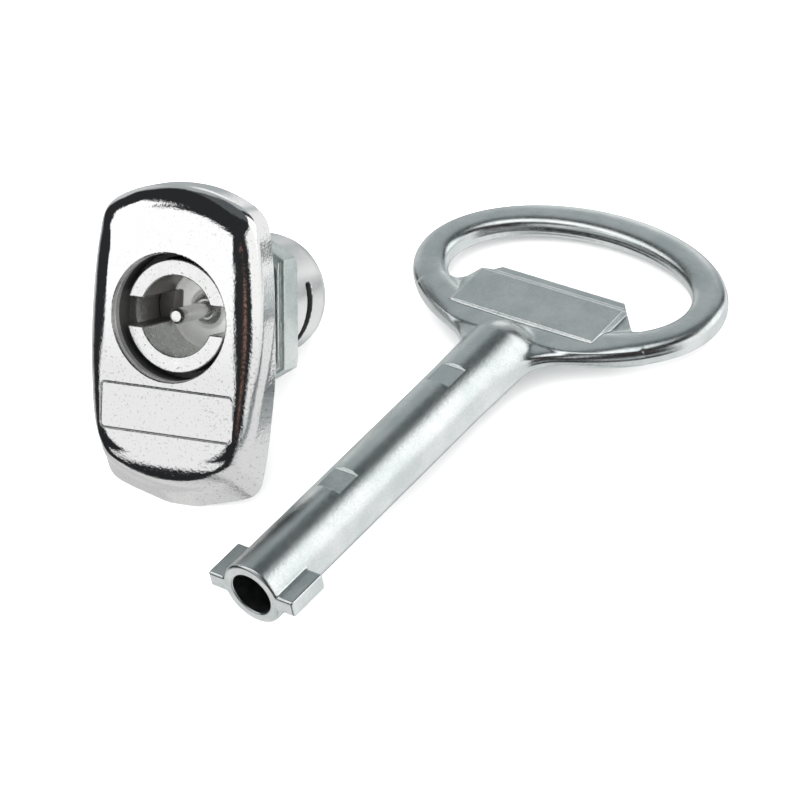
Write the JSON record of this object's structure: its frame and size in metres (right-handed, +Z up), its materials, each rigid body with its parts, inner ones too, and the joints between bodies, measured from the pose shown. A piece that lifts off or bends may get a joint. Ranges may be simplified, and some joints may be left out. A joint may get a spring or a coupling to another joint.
{
  "type": "enclosure cabinet lock",
  "caption": "Quarter-turn cabinet lock with a bright oblong escutcheon, threaded barrel and hexagon nut, beside its tubular double-bit key with an oval bow.",
  "frame": {"origin": "middle of the bounding box, on the table the lock and the key lie on", "axes": "+Z up; the lock faces -Y and leans back, the key lies to its right with its bow towards +Y"},
  "size_m": [0.084, 0.0958, 0.0422],
  "materials": {
    "chrome_casting": "polished",
    "rotor_metal": "as cast, plated",
    "key_zinc": "satin zinc plated",
    "nut_zinc": "zinc plated",
    "pin_steel": "bright",
    "hardware_steel": "zinc plated",
    "ball_steel": "polished",
    "spring_steel": "bright drawn",
    "seal_rubber": "matte"
  },
  "bodies": {
    "lock_body": {"housing": "chrome_casting", "panel_gasket": "seal_rubber", "hex_nut": "nut_zinc", "retaining_clip": "spring_steel"},
    "rotor": {"rotor": "rotor_metal", "centre_pin": "pin_steel", "rotor_o_ring": "seal_rubber", "detent_ball_left": "ball_steel", "detent_ball_right": "ball_steel", "detent_spring": "spring_steel", "stop_washer": "hardware_steel", "plain_washer": "hardware_steel", "spring_washer": "hardware_steel", "cam_screw": "hardware_steel"},
    "key": {"key": "key_zinc"}
  },
  "joints": [
    {"name": "rotor_turn", "type": "hinge", "parent": "lock_body", "child": "rotor", "pos_m": [-0.02725, -0.01112, 0.02733], "axis": [0, 0.8171, -0.5764], "range_deg": [0, 90]},
    {"name": "key_lift", "type": "slide", "parent": "lock_body", "child": "key", "axis": [0, 0, 1], "range_m": [0, 0.1]}
  ]
}
